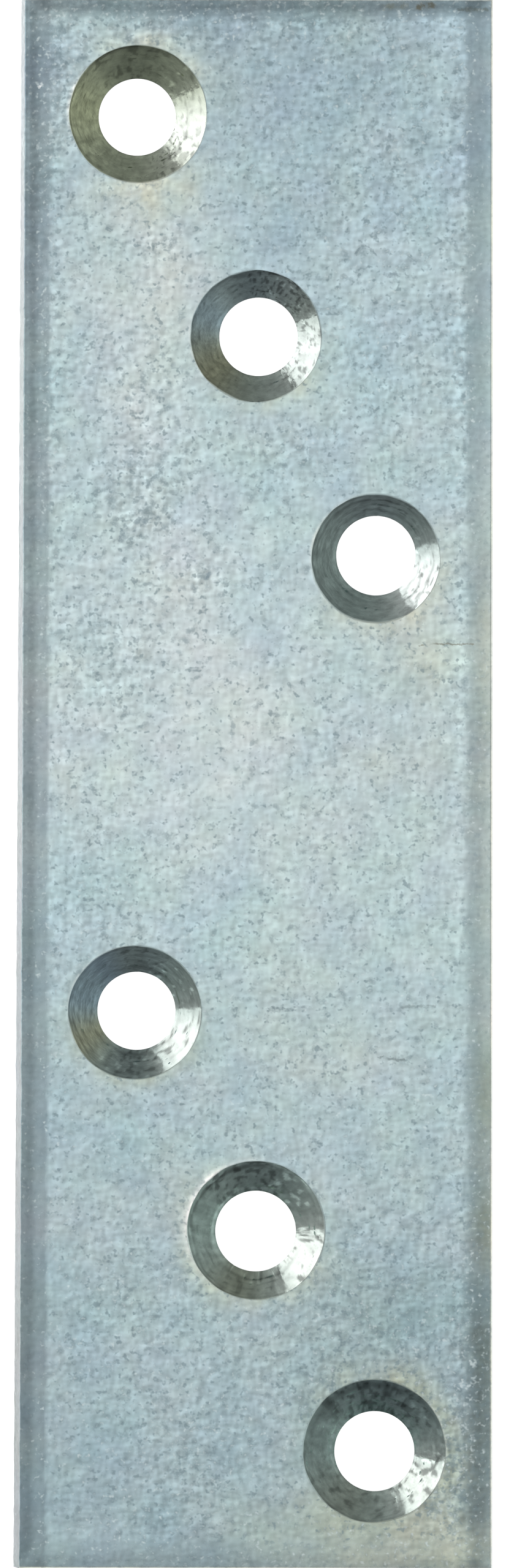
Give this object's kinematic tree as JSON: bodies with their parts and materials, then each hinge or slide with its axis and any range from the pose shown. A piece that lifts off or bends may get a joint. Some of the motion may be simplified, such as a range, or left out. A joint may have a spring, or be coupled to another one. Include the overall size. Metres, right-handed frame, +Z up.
{
  "type": "mending plate",
  "caption": "Flat zinc-plated steel mending plate with two slanting rows of countersunk screw holes and a rolled rim on its face.",
  "frame": {"origin": "on the back, under the middle of the six-hole pattern, which lies within 0.2 mm of the middle of the plate's footprint", "axes": "+X across the strip, +Y along it towards the narrower end, +Z up out of the countersunk face"},
  "size_m": [0.0306, 0.1, 0.0025],
  "materials": {
    "zinc_plated_steel": "dull blue-grey zinc plating with a fine grain, mottled and spotted"
  },
  "bodies": {
    "root": {"mending_plate": "zinc_plated_steel"}
  },
  "joints": []
}
